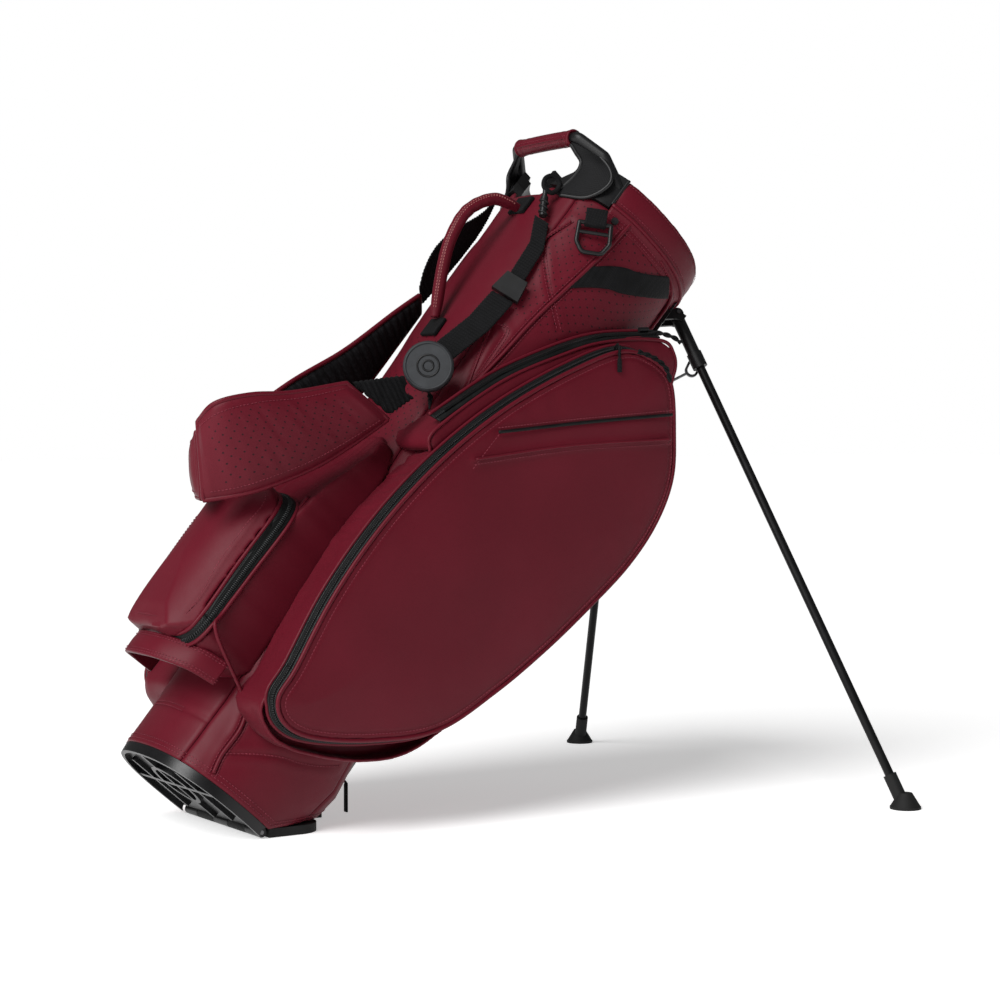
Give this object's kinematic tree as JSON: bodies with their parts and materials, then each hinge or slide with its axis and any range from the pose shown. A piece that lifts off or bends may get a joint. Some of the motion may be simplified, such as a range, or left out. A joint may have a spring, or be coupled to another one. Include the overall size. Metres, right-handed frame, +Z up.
{
  "type": "golf stand bag",
  "caption": "Golf stand bag leaning on spring-out legs: padded tube with side and ball pockets, hinged base flap, leg actuator wire, shoulder strap and handles.",
  "frame": {"origin": "middle of the base flap's sole, on the ground, with the bag standing on its legs", "axes": "+Z up; +X the way the bag leans, towards the legs; -Y the side with the strap hub and the near pocket"},
  "size_m": [0.8621, 0.7114, 0.813],
  "materials": {
    "burgundy_leather": "fine-grained coated leather, satin",
    "black_moulding": "satin moulded plastic",
    "black_rubber": "matte rubber",
    "strap_hub": "soft-touch dark grey",
    "black_webbing": "tight woven webbing",
    "black_neoprene": "knit-faced neoprene",
    "divider_fabric": "plain woven lining",
    "zip_tape": "zip tape with coil",
    "zip_metal": "black coated metal",
    "cord_pull": "braided cord and rubber end",
    "black_tube": "black anodised, satin",
    "steel_wire": "drawn wire",
    "steel_pin": "plain steel",
    "glass_fibre": "pultruded rod"
  },
  "bodies": {
    "bag": {"ball_face": "burgundy_leather", "ball_pocket": "burgundy_leather", "ball_zip": "zip_tape", "base_cup": "black_moulding", "base_handle": "burgundy_leather", "cuff_collar": "black_moulding", "cuff_cover": "burgundy_leather", "cuff_strap_loop": "black_webbing", "elastic_band": "black_webbing", "far_shoulder_pad": "burgundy_leather", "far_side_face": "burgundy_leather", "far_side_panel": "burgundy_leather", "far_side_pocket": "burgundy_leather", "far_side_zip": "zip_tape", "far_webbing": "black_webbing", "flap_hinge_pin": "steel_pin", "front_panel": "burgundy_leather", "full_length_dividers": "divider_fabric", "hub_base": "strap_hub", "hub_cap": "strap_hub", "ladder_lock": "black_moulding", "leg_bracket": "black_moulding", "leg_pins": "steel_pin", "lift_grip": "burgundy_leather", "lift_handle": "black_moulding", "near_shoulder_pad": "burgundy_leather", "near_side_face": "burgundy_leather", "near_side_panel": "burgundy_leather", "near_side_pocket": "burgundy_leather", "near_side_zip": "zip_tape", "near_webbing": "black_webbing", "ring_tab": "black_webbing", "rod_guides": "black_moulding", "side_handle": "burgundy_leather", "side_handle_tabs": "black_webbing", "snap_studs": "zip_metal", "spine_panel": "burgundy_leather", "strap_hook": "zip_metal", "strap_yoke": "black_neoprene", "top_divider": "black_moulding", "tube_stays": "glass_fibre", "valuables_pocket": "burgundy_leather", "valuables_zip": "zip_tape"},
    "flap": {"base_flap": "black_rubber"},
    "near_leg": {"near_leg_sleeve": "black_moulding", "near_leg_tube": "black_tube", "near_leg_foot": "black_rubber"},
    "far_leg": {"far_leg_sleeve": "black_moulding", "far_leg_tube": "black_tube", "far_leg_foot": "black_rubber"},
    "rod": {"actuator_rod": "steel_wire"},
    "near_link": {"near_link": "steel_wire"},
    "far_link": {"far_link": "steel_wire"},
    "ring": {"towel_ring": "black_moulding"},
    "near_slider": {"near_zip_slider": "zip_metal"},
    "far_slider": {"far_zip_slider": "zip_metal"},
    "near_pull": {"near_zip_pull": "cord_pull"},
    "front_tab": {"front_pull": "cord_pull"},
    "valuables_slide": {"valuables_slider": "zip_metal"},
    "ball_slide": {"ball_slider": "zip_metal"}
  },
  "joints": [
    {"name": "near_leg_fold", "type": "hinge", "parent": "bag", "child": "near_leg", "pos_m": [0.56428, -0.054, 0.59302], "axis": [0.3808, 0.8634, -0.331], "range_deg": [0, 56]},
    {"name": "far_leg_fold", "type": "hinge", "parent": "bag", "child": "far_leg", "pos_m": [0.56428, 0.054, 0.59302], "axis": [-0.3808, 0.8634, 0.331], "range_deg": [0, 56]},
    {"name": "flap_fold", "type": "hinge", "parent": "bag", "child": "flap", "pos_m": [-0.03776, 0, 0.006], "axis": [0, 1, 0], "range_deg": [0, 41]},
    {"name": "rod_slide", "type": "slide", "parent": "bag", "child": "rod", "axis": [-0.6332, 0, -0.774], "range_m": [0, 0.04415]},
    {"name": "near_link_pivot", "type": "hinge", "parent": "rod", "child": "near_link", "pos_m": [0.43736, -0.022, 0.45159], "axis": [-0.4314, -0.8574, 0.2807], "range_deg": [0, 18.7]},
    {"name": "far_link_pivot", "type": "hinge", "parent": "rod", "child": "far_link", "pos_m": [0.43736, 0.022, 0.45159], "axis": [0.4314, -0.8574, -0.2807], "range_deg": [0, 18.7]},
    {"name": "ring_swing", "type": "hinge", "parent": "bag", "child": "ring", "pos_m": [0.39697, -0.114, 0.69473], "axis": [-0.8449, 0.513, 0.1514], "range_deg": [0, 120]},
    {"name": "near_zip_travel", "type": "hinge", "parent": "bag", "child": "near_slider", "pos_m": [0.583, 0, -0.13081], "axis": [0, -1, 0], "range_deg": [0, 46]},
    {"name": "far_zip_travel", "type": "hinge", "parent": "bag", "child": "far_slider", "pos_m": [0.583, 0, -0.13081], "axis": [0, -1, 0], "range_deg": [0, 46]},
    {"name": "near_pull_swing", "type": "hinge", "parent": "near_slider", "child": "near_pull", "pos_m": [0.38785, -0.176, 0.54976], "axis": [0, 1, 0], "range_deg": [-60, 60]},
    {"name": "front_pull_swing", "type": "hinge", "parent": "bag", "child": "front_tab", "pos_m": [0.10757, -0.022, 0.03867], "axis": [0, 1, 0], "range_deg": [-60, 25]},
    {"name": "valuables_zip_travel", "type": "slide", "parent": "bag", "child": "valuables_slide", "axis": [-0.9987, 0, -0.0516], "range_m": [0, 0.05]},
    {"name": "ball_zip_travel", "type": "slide", "parent": "bag", "child": "ball_slide", "axis": [0, 1, 0], "range_m": [0, 0.03]}
  ],
  "couplings": [
    {"joint": "far_leg_fold", "follows": "near_leg_fold", "ratio": 1},
    {"joint": "flap_fold", "follows": "near_leg_fold", "ratio": 0.73214},
    {"joint": "rod_slide", "follows": "near_leg_fold", "m_per_rad": 0.045168},
    {"joint": "near_link_pivot", "follows": "near_leg_fold", "ratio": 0.3339},
    {"joint": "far_link_pivot", "follows": "near_leg_fold", "ratio": 0.3339}
  ]
}
